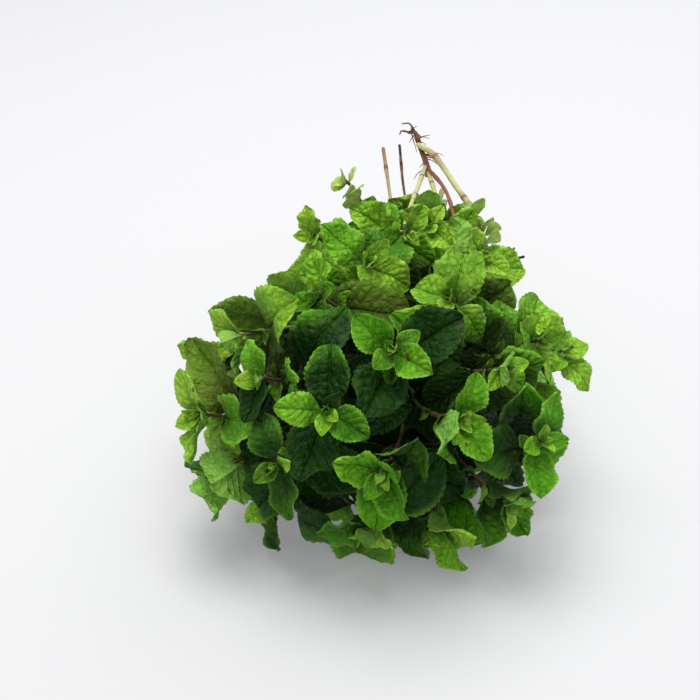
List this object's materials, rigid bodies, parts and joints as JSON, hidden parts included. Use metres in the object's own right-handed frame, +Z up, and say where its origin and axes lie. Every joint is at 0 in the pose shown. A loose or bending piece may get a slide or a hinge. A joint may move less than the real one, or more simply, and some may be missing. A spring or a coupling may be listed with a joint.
{
  "type": "mint bunch",
  "caption": "Fresh mint bunch lying on its side: leafy tops fan out into a round head, stripped stalks and a rooted runner trail behind",
  "frame": {"origin": "on the surface that the bunch lies on, under the middle of its overall box", "axes": "+Z up from the surface; +Y along the stems towards their cut ends, so the leafy head faces -Y; +X to the right seen from the head's side"},
  "size_m": [0.1935, 0.3362, 0.1258],
  "materials": {
    "leaf": "satin, veined and puckered",
    "young_leaf": "satin",
    "dry_stalk": "dry, matte",
    "runner": "matte, fibrous"
  },
  "bodies": {
    "root": {"leafy_stem_front": "leaf", "leafy_stem_centre": "leaf", "leafy_stem_centre_right": "leaf", "leafy_stem_centre_left": "leaf", "leafy_stem_low_front": "leaf", "leafy_stem_upper_left": "leaf", "leafy_stem_upper_middle": "leaf", "leafy_stem_upper_right": "leaf", "leafy_stem_right": "leaf", "leafy_stem_low_right": "leaf", "leafy_stem_low_right_side": "leaf", "leafy_stem_low_left": "leaf", "leafy_stem_low_left_side": "leaf", "leafy_stem_under": "leaf", "leafy_stem_left": "leaf", "leafy_stem_top_left": "leaf", "leafy_stem_top": "leaf", "leafy_stem_top_right": "leaf", "leafy_stem_right_top": "leaf", "leafy_stem_right_side": "leaf", "leafy_stem_under_right": "leaf", "leafy_stem_under_left": "leaf", "leafy_stem_back_left": "leaf", "leafy_stem_back_top_left": "leaf", "leafy_stem_back_top": "leaf", "leafy_stem_back_top_right": "leaf", "leafy_stem_back_right": "leaf", "leafy_stem_back_high": "leaf", "leafy_stem_back_high_left": "leaf", "leafy_stem_back_under": "leaf", "crown_shoot": "leaf", "crown_shoot_left": "leaf", "crown_shoot_right": "leaf", "young_shoot_left": "young_leaf", "young_shoot_right": "young_leaf", "dry_stalk": "dry_stalk", "dark_stalk": "dry_stalk", "dry_twig": "dry_stalk", "rooted_runner": "runner"}
  },
  "joints": []
}
